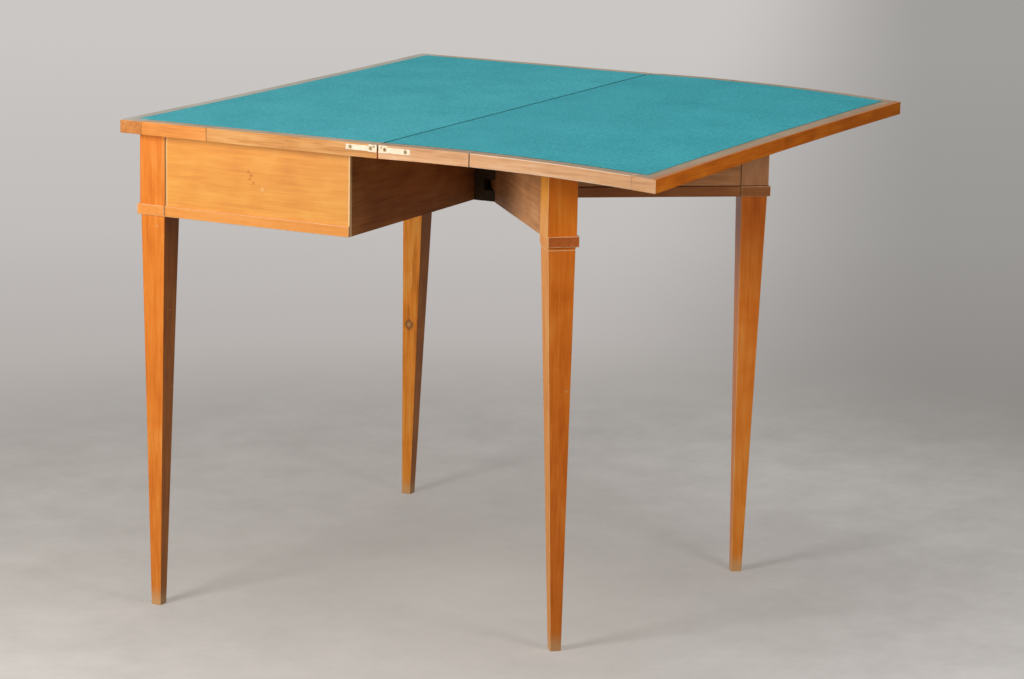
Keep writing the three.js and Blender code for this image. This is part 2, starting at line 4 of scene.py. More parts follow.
import bmesh
import bpy
import numpy as np
from mathutils import Matrix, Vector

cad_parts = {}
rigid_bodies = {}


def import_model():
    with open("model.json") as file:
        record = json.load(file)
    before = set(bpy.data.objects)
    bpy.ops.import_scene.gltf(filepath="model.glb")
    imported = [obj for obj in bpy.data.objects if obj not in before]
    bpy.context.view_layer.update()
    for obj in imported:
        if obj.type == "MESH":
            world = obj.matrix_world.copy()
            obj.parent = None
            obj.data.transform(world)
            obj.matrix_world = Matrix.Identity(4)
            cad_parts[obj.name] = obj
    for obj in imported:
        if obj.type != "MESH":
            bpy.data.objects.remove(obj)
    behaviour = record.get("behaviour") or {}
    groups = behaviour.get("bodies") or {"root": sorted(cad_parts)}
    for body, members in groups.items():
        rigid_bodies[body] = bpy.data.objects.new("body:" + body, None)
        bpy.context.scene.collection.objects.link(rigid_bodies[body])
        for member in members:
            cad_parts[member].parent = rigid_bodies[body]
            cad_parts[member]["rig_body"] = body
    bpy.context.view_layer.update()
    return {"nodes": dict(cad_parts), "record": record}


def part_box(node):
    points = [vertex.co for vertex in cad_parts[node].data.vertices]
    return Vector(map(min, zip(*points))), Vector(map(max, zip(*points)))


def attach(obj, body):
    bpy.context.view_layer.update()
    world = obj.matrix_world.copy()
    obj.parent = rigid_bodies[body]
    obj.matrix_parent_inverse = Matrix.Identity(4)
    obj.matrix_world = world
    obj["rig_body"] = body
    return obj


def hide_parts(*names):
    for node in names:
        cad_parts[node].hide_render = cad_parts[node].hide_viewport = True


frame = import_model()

# Camera: a long lens a little above the table, off its near right corner, turned and leant as
# the photograph was taken. Angles are degrees, the place is metres in the table's own frame.
CAMERA_PLACE = np.array([4.6855, 2.3769, 1.5056])
CAMERA_HEADING = 207.054
CAMERA_DIP = 12.024
CAMERA_LEAN = 1.092
PICTURE_WIDTH = 1024
FOCAL_PIXELS = 3477.26
SENSOR_WIDTH = 36.0


def camera_axes(heading, dip, lean):
    """The camera's right, up and forward directions. Forward is the heading tipped down by the
    dip, and right and up are turned about it by the lean."""
    heading, dip, lean = np.radians([heading, dip, lean])
    level = np.cos(dip)
    forward = np.array([np.cos(heading) * level, np.sin(heading) * level, -np.sin(dip)])
    right = np.cross(forward, [0.0, 0.0, 1.0])
    right /= np.linalg.norm(right)
    up = np.cross(right, forward)
    turned_right = right * np.cos(lean) + up * np.sin(lean)
    turned_up = up * np.cos(lean) - right * np.sin(lean)
    return turned_right, turned_up, forward


def set_place(thing, right, up, back, place):
    """Turns a camera or lamp by its own three axes, puts it in its place and into the scene."""
    placed = np.eye(4)
    placed[:3, 0] = right
    placed[:3, 1] = up
    placed[:3, 2] = back
    placed[:3, 3] = place
    thing.matrix_world = Matrix(placed.tolist())
    bpy.context.scene.collection.objects.link(thing)


camera = bpy.data.objects.new("camera", bpy.data.cameras.new("camera"))
camera.data.sensor_width = SENSOR_WIDTH
camera.data.lens = FOCAL_PIXELS * SENSOR_WIDTH / PICTURE_WIDTH
camera_right, camera_up, camera_forward = camera_axes(CAMERA_HEADING, CAMERA_DIP, CAMERA_LEAN)
set_place(camera, camera_right, camera_up, -camera_forward, CAMERA_PLACE)
bpy.context.scene.camera = camera


# Studio: a flat disc of pale matt paper. Far off it shows a glow of painted light and shade, in
# place of a sweep lit by a lamp of its own, paler to the left. Nearer in, part of that glow is
# painted light over the table's shadow, and the paper is greyed to the left as painted shade.
# The table is lit by a soft lamp low on the left, a weaker one on the right and a large one
# overhead. Places and sizes are metres, and powers are watts.
FLOOR_RADIUS = 30.0
FLOOR_RINGS = 24
FLOOR_SIDES = 96
CENTRE_HOLE = 0.0001
PAPER_COLOURS = [(0.32, "#E2E0DD"), (0.64, "#F8F6F4")]
# The paper's greyer left side is painted shade.
PAPER_LEFT_SHADE = [(0.0, "#E0DDD9"), (0.6, "#F9F8F7")]
PAPER_BOUNCE = 0.38
CLOUD_SIZE = 140.0
SWEEP_START = 0.9
SWEEP_END = 1.9
SWEEP_NEAR = -1.0
SWEEP_FAR = 8.0
SWEEP_COLOURS = [
    (0.06, "#DAD2C9"),
    (0.13, "#C0B9B2"),
    (0.22, "#AFAAA5"),
    (0.33, "#B9B4B1"),
    (0.45, "#C2BEBB"),
    (0.85, "#CBC7C4"),
]
# Near the table, and most of all under it, part of the glow is painted light over the table's shadow.
NEAR_REACH = 0.8
CENTRE_GLOW = 0.62
NEAR_GLOW = 0.34
SHADE_COLOURS = [(0.0, "#FFFFFF"), (1.0, "#CBCCCC")]
SHADE_TILT = 0.113
SHADE_START = -0.75
SHADE_END = 0.1
SKY_COLOUR = "#C6C2BF"
SKY_STRENGTH = 0.22
KEY_PLACE = (1.96, -0.7, 1.05)
KEY_SIZE = 0.6
KEY_POWER = 27.0
FILL_PLACE = (0.62, 1.56, 1.15)
FILL_SIZE = 0.45
FILL_POWER = 7.0
TOP_PLACE = (-0.4, 0.0, 3.4)
TOP_SIZE = 2.6
TOP_POWER = 42.0
AIM = (0.0, 0.0, 0.6)


def linear(colour):
    """An sRGB hex colour as linear red, green, blue and alpha."""
    parts = np.array([int(colour[i : i + 2], 16) for i in (1, 3, 5)]) / 255.0
    curve = np.where(parts <= 0.04045, parts / 12.92, ((parts + 0.055) / 1.055) ** 2.4)
    return (*curve.tolist(), 1.0)


def pattern_scale(size):
    """A texture's scale, in cells to the metre, for a pattern whose cells are this many millimetres
    across."""
    return 1000.0 / size


def add_node(material, kind, settings, inputs):
    """Adds one node to a material or a world, with its own settings, and fills its inputs with
    values or with the sockets of other nodes."""
    tree = material.node_tree
    made = tree.nodes.new(kind)
    for name, value in settings.items():
        setattr(made, name, value)
    for name, value in inputs.items():
        if isinstance(value, bpy.types.NodeSocket):
            tree.links.new(value, made.inputs[name])
        else:
            made.inputs[name].default_value = value
    return made


def set_stops(ramp, stops):
    """Gives a colour ramp its stops, as pairs of a place from 0 to 1 and a hex colour."""
    elements = ramp.color_ramp.elements
    while len(elements) < len(stops):
        elements.new(0.5)
    for element, (place, colour) in zip(elements, stops):
        element.position = place
        element.color = linear(colour)


def new_material(name):
    """An empty node material."""
    material = bpy.data.materials.new(name)
    material.use_nodes = True
    material.node_tree.nodes.clear()
    return material


def finish_material(material, shader):
    """Sends a shader to the material's surface."""
    add_node(material, "ShaderNodeOutputMaterial", {}, {"Surface": shader.outputs[0]})
    return material


def seen_directly(material):
    """1 for what the camera, a reflection or clear glass sees, and 0 for the light that bounces."""
    path = add_node(material, "ShaderNodeLightPath", {}, {})
    total = path.outputs["Is Camera Ray"]
    for kind in ("Is Glossy Ray", "Is Transmission Ray"):
        total = add_node(
            material,
            "ShaderNodeMath",
            {"operation": "MAXIMUM"},
            {0: total, 1: path.outputs[kind]},
        ).outputs[0]
    return total


def painted_sweep_light(material, place, level, share):
    """The tone of a lit sweep, painted as a glow: painted light and shade that change with the
    distance along the camera's level heading, and darken with the share, which grows to the right."""
    onward = add_node(
        material,
        "ShaderNodeVectorMath",
        {"operation": "DOT_PRODUCT"},
        {0: place, 1: tuple(level.tolist())},
    )
    depth = add_node(
        material,
        "ShaderNodeMapRange",
        {},
        {"Value": onward.outputs["Value"], "From Min": SWEEP_NEAR, "From Max": SWEEP_FAR},
    )
    tone = add_node(material, "ShaderNodeValToRGB", {}, {"Fac": depth.outputs["Result"]})
    set_stops(tone, SWEEP_COLOURS)
    shade = add_node(material, "ShaderNodeValToRGB", {}, {"Fac": share})
    set_stops(shade, SHADE_COLOURS)
    shaded = add_node(
        material,
        "ShaderNodeMix",
        {"data_type": "RGBA", "blend_type": "MULTIPLY"},
        {0: 1.0, 6: tone.outputs["Color"], 7: shade.outputs["Color"]},
    )
    return add_node(material, "ShaderNodeEmission", {}, {"Color": shaded.outputs[2], "Strength": 1.0})


def plain_paper(material, place, share, seen):
    """The paper itself: faintly clouded, a little greyer to the left as painted shade, and darker
    for the light that bounces, so that it throws little of it back at the table."""
    clouds = add_node(
        material,
        "ShaderNodeTexNoise",
        {},
        {"Vector": place, "Scale": pattern_scale(CLOUD_SIZE), "Detail": 8.0, "Roughness": 0.72},
    )
    cloud_tint = add_node(material, "ShaderNodeValToRGB", {}, {"Fac": clouds.outputs["Fac"]})
    set_stops(cloud_tint, PAPER_COLOURS)
    left_shade_tint = add_node(material, "ShaderNodeValToRGB", {}, {"Fac": share})
    set_stops(left_shade_tint, PAPER_LEFT_SHADE)
    tinted = add_node(
        material,
        "ShaderNodeMix",
        {"data_type": "RGBA", "blend_type": "MULTIPLY"},
        {0: 1.0, 6: cloud_tint.outputs["Color"], 7: left_shade_tint.outputs["Color"]},
    )
    bounce = add_node(
        material,
        "ShaderNodeMapRange",
        {},
        {"Value": seen, "To Min": PAPER_BOUNCE, "To Max": 1.0},
    )
    colour = add_node(
        material,
        "ShaderNodeVectorMath",
        {"operation": "SCALE"},
        {0: tinted.outputs[2], "Scale": bounce.outputs["Result"]},
    )
    return add_node(
        material,
        "ShaderNodeBsdfPrincipled",
        {},
        {"Base Color": colour.outputs[0], "Roughness": 0.9, "Specular IOR Level": 0.1},
    )


def floor_paper():
    """Matt seamless paper. Near the table it takes the lamps' light and the shadows, lifted by
    part of the sweep's painted glow, most of all under the table, where it is painted light over
    the table's shadow. Farther off it shows that glow alone. The glow is only there for what is
    seen directly, and lights nothing."""
    material = new_material("matt_seamless_paper")
    place = add_node(material, "ShaderNodeTexCoord", {}, {}).outputs["Object"]
    seen = seen_directly(material)
    level = camera_forward * [1.0, 1.0, 0.0]
    level /= np.linalg.norm(level)
    sideways = np.cross(level, [0.0, 0.0, 1.0]) - SHADE_TILT * level
    offset = float(sideways @ (CAMERA_PLACE * [1.0, 1.0, 0.0]))
    across = add_node(
        material,
        "ShaderNodeVectorMath",
        {"operation": "DOT_PRODUCT"},
        {0: place, 1: tuple(sideways.tolist())},
    )
    share = add_node(
        material,
        "ShaderNodeMapRange",
        {"interpolation_type": "SMOOTHSTEP"},
        {"Value": across.outputs["Value"], "From Min": offset + SHADE_START,
         "From Max": offset + SHADE_END},
    ).outputs["Result"]
    paper = plain_paper(material, place, share, seen)
    glow = painted_sweep_light(material, place, level, share)
    reach = add_node(
        material,
        "ShaderNodeVectorMath",
        {"operation": "LENGTH"},
        {0: place},
    ).outputs["Value"]
    far_off = add_node(
        material,
        "ShaderNodeMapRange",
        {"interpolation_type": "SMOOTHSTEP"},
        {"Value": reach, "From Min": SWEEP_START, "From Max": SWEEP_END},
    )
    beneath = add_node(
        material,
        "ShaderNodeMapRange",
        {},
        {"Value": reach, "From Max": NEAR_REACH, "To Min": CENTRE_GLOW, "To Max": NEAR_GLOW},
    )
    glow_share = add_node(
        material,
        "ShaderNodeMix",
        {},
        {0: far_off.outputs["Result"], 2: beneath.outputs["Result"], 3: 1.0},
    )
    glow_seen = add_node(
        material,
        "ShaderNodeMath",
        {"operation": "MULTIPLY"},
        {0: glow_share.outputs[0], 1: seen},
    )
    both = add_node(
        material,
        "ShaderNodeMixShader",
        {},
        {0: glow_seen.outputs[0], 1: paper.outputs[0], 2: glow.outputs[0]},
    )
    return finish_material(material, both)


def studio_floor():
    """A disc: each ring of points is a circle whose radius grows with the square of its share."""
    share = np.linspace(0.0, 1.0, FLOOR_RINGS)[:, None] ** 2
    angle = np.linspace(0.0, 2 * np.pi, FLOOR_SIDES, endpoint=False)[None, :]
    radius = CENTRE_HOLE + share * FLOOR_RADIUS
    points = np.stack([radius * np.cos(angle), radius * np.sin(angle), 0 * radius * angle], axis=-1)
    ring, side = np.meshgrid(np.arange(FLOOR_RINGS - 1), np.arange(FLOOR_SIDES), indexing="ij")
    beside = (side + 1) % FLOOR_SIDES
    corners = [ring * FLOOR_SIDES + side, (ring + 1) * FLOOR_SIDES + side]
    corners += [(ring + 1) * FLOOR_SIDES + beside, ring * FLOOR_SIDES + beside]
    faces = np.stack(corners, axis=-1).reshape(-1, 4)
    mesh = bpy.data.meshes.new("floor")
    mesh.from_pydata(points.reshape(-1, 3).tolist(), [], faces.tolist())
    mesh.update()
    floor = bpy.data.objects.new("floor", mesh)
    bpy.context.scene.collection.objects.link(floor)
    floor.data.materials.append(floor_paper())


def softbox(name, place, size, power):
    """A square lamp at a place, turned to the table."""
    lamp = bpy.data.lights.new(name, "AREA")
    lamp.size = size
    lamp.energy = power
    away = np.array(place) - np.array(AIM)
    away /= np.linalg.norm(away)
    side = np.cross([0.0, 0.0, 1.0], away)
    side /= np.linalg.norm(side)
    set_place(bpy.data.objects.new(name, lamp), side, np.cross(away, side), away, place)


studio_floor()
softbox("key_lamp", KEY_PLACE, KEY_SIZE, KEY_POWER)
softbox("fill_lamp", FILL_PLACE, FILL_SIZE, FILL_POWER)
softbox("overhead_lamp", TOP_PLACE, TOP_SIZE, TOP_POWER)
sky = bpy.data.worlds.new("sky")
sky.use_nodes = True
sky.node_tree.nodes.clear()
sky_seen = add_node(
    sky,
    "ShaderNodeMapRange",
    {},
    {"Value": seen_directly(sky), "To Min": SKY_STRENGTH, "To Max": 1.0},
)
sky_shader = add_node(
    sky,
    "ShaderNodeBackground",
    {},
    {"Color": linear(SKY_COLOUR), "Strength": sky_seen.outputs["Result"]},
)
add_node(sky, "ShaderNodeOutputWorld", {}, {"Surface": sky_shader.outputs[0]})
bpy.context.scene.world = sky
bpy.context.scene.view_settings.view_transform = "Standard"


# Front legs: two square posts of honey-coloured fruitwood, tapered below the band on the two
# inner faces, planed, stained and french-polished. The far one has a small knot. The faces
# turned to the rear take darker tones, painted shade. Sizes are metres, and those of patterns
# millimetres.
ARRIS = 0.0009
ARRIS_STEPS = 2
ARRIS_ANGLE = 25.0
MERGE_DISTANCE = 0.000005
FLAT_ANGLE = 0.05
FACING_COSINE = 0.9
UPRIGHT = (0.0, math.radians(90), 0.0)
ALONG_X = (0.0, 0.0, 0.0)
ALONG_Y = (0.0, 0.0, math.radians(-90))
REARWARD = (0.0, 1.0, 0.0)
SEED_STEPS = (0.731, 0.437, 0.293)
MOTTLE_SIZE = 70.0
MOTTLE_SHARE = 0.9
GROWTH_LINE_SIZE = 8.0
GROWTH_LINE_STRETCH = (0.1, 1.0, 1.0)
GROWTH_LINE_BEND = (0.03, 0.03, 0.03)
GROWTH_LINE_SHARE = 0.9
PORE_SIZE = 3.0
PORE_STRETCH = (0.03, 1.0, 1.0)
PORE_SHARE = 0.8
PORE_DEPTH = 0.0004
PORE_RELIEF = 0.12
DULLER = 0.1
GLOSSIER = 0.06
KNOT_OVAL = (0.6, 1.0, 1.0)
KNOT_HEART = 0.5
KNOT_REACH = 1.8
KNOT_STRENGTH = 0.9
KNOT_FADE = 0.3
BARE_WOOD = "#DDB07A"
FOOT_FRAY = 0.02
FOOT_BARE_HEIGHT = 0.012
FOOT_WORN_HEIGHT = 0.042
FOOT_WEAR = 0.75
NICK_SPACING = 40.0
NICK_CORE = 0.03
NICK_RIM = 0.06
NICK_WEAR = 0.6
HONEY_LEG = ("#CE6816", "#E8822A", "#F5A048")
# The far leg's tones are paler than the near one's: painted light, as it stands farther from the key
# lamp.
FAR_FRONT_LEG_PAINTED_LIGHT = ("#CC7220", "#F6922E", "#FDB252")
INNER_LEG_SHADE = ("#9C541A", "#C07028", "#D4883C")
RUBBED_AND_HIGHLIT = ("#E4A060", "#F4BA7C", "#FAC992")
LEG_KNOT = (-0.378, -0.4075, 0.297)
KNOT_SIZE = 0.0098
KNOT_COLOURS = [(0.0, "#DA9C5E"), (0.25, "#BE8852"), (0.42, "#6A4630"), (0.7, "#A8642A")]


def wood_figure(material, place, along, seed, grain):
    """The wood's own pattern, at a place that the seed chooses. Mottling, growth lines and pores,
    the last two drawn out along the grain, are each a share of the figure from 0 to 1. Returns
    the place turned with the grain, the pores and the figure."""
    turned = add_node(
        material,
        "ShaderNodeMapping",
        {},
        {"Vector": place, "Rotation": along, "Location": tuple(seed * step for step in SEED_STEPS)},
    ).outputs["Vector"]
    stretched = add_node(
        material,
        "ShaderNodeVectorMath",
        {"operation": "MULTIPLY"},
        {0: turned, 1: GROWTH_LINE_STRETCH},
    )
    bend = add_node(
        material,
        "ShaderNodeTexNoise",
        {},
        {"Vector": stretched.outputs[0], "Scale": pattern_scale(MOTTLE_SIZE), "Detail": 2.0,
         "Roughness": 0.5},
    )
    bent = add_node(
        material,
        "ShaderNodeVectorMath",
        {"operation": "MULTIPLY_ADD"},
        {0: bend.outputs["Color"], 1: GROWTH_LINE_BEND, 2: stretched.outputs[0]},
    )
    lines = add_node(
        material,
        "ShaderNodeTexNoise",
        {},
        {"Vector": bent.outputs[0], "Scale": pattern_scale(GROWTH_LINE_SIZE), "Detail": 2.0,
         "Roughness": 0.6},
    )
    mottling = add_node(
        material,
        "ShaderNodeTexNoise",
        {},
        {"Vector": turned, "Scale": pattern_scale(MOTTLE_SIZE), "Detail": 3.0, "Roughness": 0.55,
         "Distortion": 0.6},
    )
    drawn_out = add_node(
        material,
        "ShaderNodeVectorMath",
        {"operation": "MULTIPLY"},
        {0: turned, 1: PORE_STRETCH},
    )
    pores = add_node(
        material,
        "ShaderNodeTexNoise",
        {},
        {"Vector": drawn_out.outputs[0], "Scale": pattern_scale(PORE_SIZE), "Detail": 3.0,
         "Roughness": 0.6},
    ).outputs["Fac"]
    mottling_part = add_node(
        material,
        "ShaderNodeMath",
        {"operation": "MULTIPLY_ADD"},
        {0: mottling.outputs["Fac"], 1: MOTTLE_SHARE, 2: (1.0 - MOTTLE_SHARE) / 2},
    )
    line_part = add_node(
        material,
        "ShaderNodeMath",
        {"operation": "MULTIPLY_ADD"},
        {0: lines.outputs["Fac"], 1: GROWTH_LINE_SHARE * grain, 2: -GROWTH_LINE_SHARE / 2 * grain},
    )
    pore_part = add_node(
        material,
        "ShaderNodeMath",
        {"operation": "MULTIPLY_ADD"},
        {0: pores, 1: PORE_SHARE * grain, 2: -PORE_SHARE / 2 * grain},
    )
    ground = add_node(
        material,
        "ShaderNodeMath",
        {"operation": "ADD"},
        {0: mottling_part.outputs[0], 1: line_part.outputs[0]},
    )
    figure = add_node(
        material,
        "ShaderNodeMath",
        {"operation": "ADD", "use_clamp": True},
        {0: ground.outputs[0], 1: pore_part.outputs[0]},
    )
    return turned, pores, figure.outputs[0]


def stained(material, figure, tones):
    """The figure's colour, over three tones from the darkest to the palest."""
    ramp = add_node(material, "ShaderNodeValToRGB", {}, {"Fac": figure})
    set_stops(ramp, list(zip((0.0, 0.5, 1.0), tones)))
    return ramp.outputs["Color"]


def with_zone(material, colour, place, figure, start, end, tones):
    """Over the colour, other tones that set in between two heights."""
    height = add_node(material, "ShaderNodeSeparateXYZ", {}, {"Vector": place}).outputs["Z"]
    above = add_node(
        material,
        "ShaderNodeMapRange",
        {},
        {"Value": height, "From Min": start, "From Max": end},
    )
    two_tone = add_node(
        material,
        "ShaderNodeMix",
        {"data_type": "RGBA"},
        {0: above.outputs["Result"], 6: colour, 7: stained(material, figure, tones)},
    )
    return two_tone.outputs[2]


def with_knot(material, colour, place, along, pores, centre, size, colours):
    """Over the colour, an oval knot: its rings follow the distance from its heart, frayed by the
    pores, and fade out into the wood."""
    offset = add_node(
        material,
        "ShaderNodeVectorMath",
        {"operation": "SUBTRACT"},
        {0: place, 1: centre},
    )
    oval = add_node(
        material,
        "ShaderNodeMapping",
        {},
        {"Vector": offset.outputs[0], "Rotation": along, "Scale": KNOT_OVAL},
    )
    away = add_node(
        material,
        "ShaderNodeVectorMath",
        {"operation": "LENGTH"},
        {0: oval.outputs["Vector"]},
    )
    frayed = add_node(
        material,
        "ShaderNodeMath",
        {"operation": "MULTIPLY_ADD"},
        {0: pores, 1: size, 2: away.outputs["Value"]},
    )
    ring = add_node(
        material,
        "ShaderNodeMapRange",
        {},
        {"Value": frayed.outputs[0], "From Min": size * KNOT_HEART, "From Max": size * KNOT_REACH},
    )
    rings = add_node(material, "ShaderNodeValToRGB", {}, {"Fac": ring.outputs["Result"]})
    set_stops(rings, colours)
    fade = add_node(
        material,
        "ShaderNodeMapRange",
        {"interpolation_type": "SMOOTHSTEP"},
        {"Value": ring.outputs["Result"], "From Min": KNOT_FADE, "To Min": KNOT_STRENGTH,
         "To Max": 0.0},
    )
    around = add_node(
        material,
        "ShaderNodeMix",
        {"data_type": "RGBA"},
        {0: fade.outputs["Result"], 6: colour, 7: rings.outputs["Color"]},
    )
    return around.outputs[2]


def with_line(material, colour, place, direction, distance, width, line_colour):
    """Over the colour, a thin line at a distance along a direction, and square to it."""
    along_it = add_node(
        material,
        "ShaderNodeVectorMath",
        {"operation": "DOT_PRODUCT"},
        {0: place, 1: direction},
    )
    gap = add_node(
        material,
        "ShaderNodeMath",
        {"operation": "COMPARE"},
        {0: along_it.outputs["Value"], 1: distance, 2: width / 2},
    )
    line = add_node(
        material,
        "ShaderNodeMix",
        {"data_type": "RGBA"},
        {0: gap.outputs[0], 6: colour, 7: linear(line_colour)},
    )
    return line.outputs[2]


def with_wear(material, colour, place, turned, pores):
    """Over the colour, bare wood: at the foot, where the polish has gone up to a frayed edge, and
    in small nicks, one about every 40 mm."""
    height = add_node(material, "ShaderNodeSeparateXYZ", {}, {"Vector": place}).outputs["Z"]
    frayed = add_node(
        material,
        "ShaderNodeMath",
        {"operation": "MULTIPLY_ADD"},
        {0: pores, 1: FOOT_FRAY, 2: height},
    )
    worn = add_node(
        material,
        "ShaderNodeMapRange",
        {"interpolation_type": "SMOOTHSTEP"},
        {"Value": frayed.outputs[0], "From Min": FOOT_BARE_HEIGHT, "From Max": FOOT_WORN_HEIGHT,
         "To Min": FOOT_WEAR, "To Max": 0.0},
    )
    cells = add_node(
        material,
        "ShaderNodeTexVoronoi",
        {},
        {"Vector": turned, "Scale": pattern_scale(NICK_SPACING)},
    )
    nicks = add_node(
        material,
        "ShaderNodeMapRange",
        {},
        {"Value": cells.outputs["Distance"], "From Min": NICK_CORE, "From Max": NICK_RIM,
         "To Min": NICK_WEAR, "To Max": 0.0},
    )
    bare_share = add_node(
        material,
        "ShaderNodeMath",
        {"operation": "MAXIMUM"},
        {0: worn.outputs["Result"], 1: nicks.outputs["Result"]},
    )
    bare = add_node(
        material,
        "ShaderNodeMix",
        {"data_type": "RGBA"},
        {0: bare_share.outputs[0], 6: colour, 7: linear(BARE_WOOD)},
    )
    return bare.outputs[2]


def fruitwood(name, tones, along, seed, grain=1.0, zones=(), knots=(), lines=(), worn=False,
              roughness=0.32, shine=0.25):
    """French-polished fruitwood: even honey ground, close darker growth lines along the grain,
    faint cloudy mottling and fine pores under a satin shellac film. Unpolished wood is the same
    with a rougher surface. The three tones run from the darkest to the palest, and along turns
    the grain onto the texture's X axis. A zone is two heights, between which the wood goes over
    to three tones of its own. A knot is a place, a size and its colours from the heart out. A
    line, dark where two lengths or parts meet and pale along an edge, is a direction, its distance
    along that direction, its width and its colour. Worn is for a leg, with its nicks and its rubbed
    foot. Shine is the specular level of the film. A cell of growth lines is 8 mm wide and one of
    pores 3 mm, coarser than the real ones, so that they show."""
    material = new_material(name)
    place = add_node(material, "ShaderNodeTexCoord", {}, {}).outputs["Object"]
    turned, pores, figure = wood_figure(material, place, along, seed, grain)
    colour = stained(material, figure, tones)
    for zone in zones:
        colour = with_zone(material, colour, place, figure, *zone)
    for knot in knots:
        colour = with_knot(material, colour, place, along, pores, *knot)
    for line in lines:
        colour = with_line(material, colour, place, *line)
    if worn:
        colour = with_wear(material, colour, place, turned, pores)
    polish = add_node(
        material,
        "ShaderNodeMapRange",
        {},
        {"Value": pores, "To Min": roughness - GLOSSIER, "To Max": roughness + DULLER},
    )
    relief = add_node(
        material,
        "ShaderNodeBump",
        {},
        {"Height": pores, "Strength": PORE_RELIEF, "Distance": PORE_DEPTH},
    )
    shader = add_node(
        material,
        "ShaderNodeBsdfPrincipled",
        {},
        {"Base Color": colour, "Roughness": polish.outputs["Result"],
         "Normal": relief.outputs["Normal"], "Specular IOR Level": shine},
    )
    return finish_material(material, shader)


def eased(node, arris, material, rubbed=None, steps=ARRIS_STEPS, facing=()):
    """A copy of a CAD node's mesh with its flat faces joined up and every sharp arris rounded.
    The rubbed material, if there is one, goes on the rounding alone; its paler wood is a painted
    highlight, with wear too where it is the rubbed edge. Facing holds pairs of a direction and a
    material, for the faces that look that way."""
    source = frame["nodes"][node]
    mesh = source.data.copy()
    mesh.name = node + "_finished"
    made = bpy.data.objects.new(node + "_finished", mesh)
    bpy.context.scene.collection.objects.link(made)
    shape = bmesh.new()
    shape.from_mesh(mesh)
    bmesh.ops.remove_doubles(shape, verts=shape.verts, dist=MERGE_DISTANCE)
    bmesh.ops.dissolve_limit(
        shape,
        angle_limit=math.radians(FLAT_ANGLE),
        verts=shape.verts,
        edges=shape.edges,
    )
    shape.to_mesh(mesh)
    shape.free()
    mesh.materials.clear()
    mesh.materials.append(material)
    if rubbed:
        mesh.materials.append(rubbed)
    normals = np.zeros(3 * len(mesh.polygons))
    mesh.polygons.foreach_get("normal", normals)
    choice = np.zeros(len(mesh.polygons), np.int32)
    for direction, other in facing:
        choice[normals.reshape(-1, 3) @ np.array(direction) > FACING_COSINE] = len(mesh.materials)
        mesh.materials.append(other)
    mesh.polygons.foreach_set("material_index", choice)
    mesh.polygons.foreach_set("use_smooth", np.ones(len(mesh.polygons), bool))
    rounding = made.modifiers.new("arris", "BEVEL")
    rounding.width = arris
    rounding.segments = steps
    rounding.limit_method = "ANGLE"
    rounding.angle_limit = math.radians(ARRIS_ANGLE)
    rounding.material = 1 if rubbed else -1
    rounding.harden_normals = False
    flat = made.modifiers.new("flat_faces", "WEIGHTED_NORMAL")
    flat.keep_sharp = True
    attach(made, source["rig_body"])
    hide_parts(node)
    return made


# Rounded arrises: wood rubbed pale by handling, made paler with a painted highlight.
rubbed_and_highlit_edge = fruitwood("rubbed_and_highlit_fruitwood_arris", RUBBED_AND_HIGHLIT, UPRIGHT, seed=3.0)
near_leg_wood = fruitwood(
    "polished_fruitwood_near_front_leg",
    HONEY_LEG,
    UPRIGHT,
    seed=1.0,
    worn=True,
)
far_leg_wood = fruitwood(
    "polished_fruitwood_far_front_leg",
    FAR_FRONT_LEG_PAINTED_LIGHT,
    UPRIGHT,
    seed=2.0,
    grain=1.4,
    knots=[(LEG_KNOT, KNOT_SIZE, KNOT_COLOURS)],
    worn=True,
)
# The rear faces' darker tones are painted shade.
inner_face_shade_wood = fruitwood("painted_shade_fruitwood_inner_face", INNER_LEG_SHADE, UPRIGHT, seed=4.0, worn=True)
eased("front_leg_near", ARRIS, near_leg_wood, facing=[(REARWARD, inner_face_shade_wood)])
eased("front_leg_far", ARRIS, far_leg_wood, facing=[(REARWARD, inner_face_shade_wood)])


# Leg bands: thin fruitwood strips glued round the outer faces of each leg, level with the lower
# edge of the frame, their edges rounded over, rubbed pale by handling and paler still with a
# painted highlight.
BAND_ARRIS = 0.0011
BAND_STEPS = 3
BAND_GRAIN = 0.7
LEG_BAND = ("#DA7C2E", "#EC9240", "#F6A858")
band_wood = fruitwood("polished_fruitwood_leg_band", LEG_BAND, ALONG_X, seed=5.0, grain=BAND_GRAIN)
for side in ("near", "far"):
    eased(f"front_leg_band_{side}", BAND_ARRIS, band_wood, rubbed_and_highlit_edge, steps=BAND_STEPS)


# Aprons: planks of pale figured fruitwood, tenoned into the front legs. The near one shows a
# small knot and four dark flecks. A low band runs along their lower edges.
APRON = ("#DD8C40", "#EDA048", "#F6B45A")
APRON_BAND = ("#DC8536", "#EE9A48", "#F7AE62")
JOINT_SHADOW = 0.0024
PALE_LINE_GAP = 0.0003
PALE_LINE = 0.0018
PALE_END_LINE = 0.0024
FLECK_COLOURS = [(0.0, "#C27032"), (0.5, "#D4863C"), (1.0, "#E49C4A")]
PIN_KNOT_COLOURS = [(0.0, "#F4BC72"), (0.5, "#E89C4E"), (1.0, "#EDA24E")]
leg_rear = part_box("front_leg_near")[1].y
apron_face, apron_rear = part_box("side_apron_near")[1].xy
pale_line_place = leg_rear + JOINT_SHADOW + PALE_LINE_GAP + PALE_LINE / 2
leg_joint = (REARWARD, leg_rear + JOINT_SHADOW / 2, JOINT_SHADOW, "#2E160A")
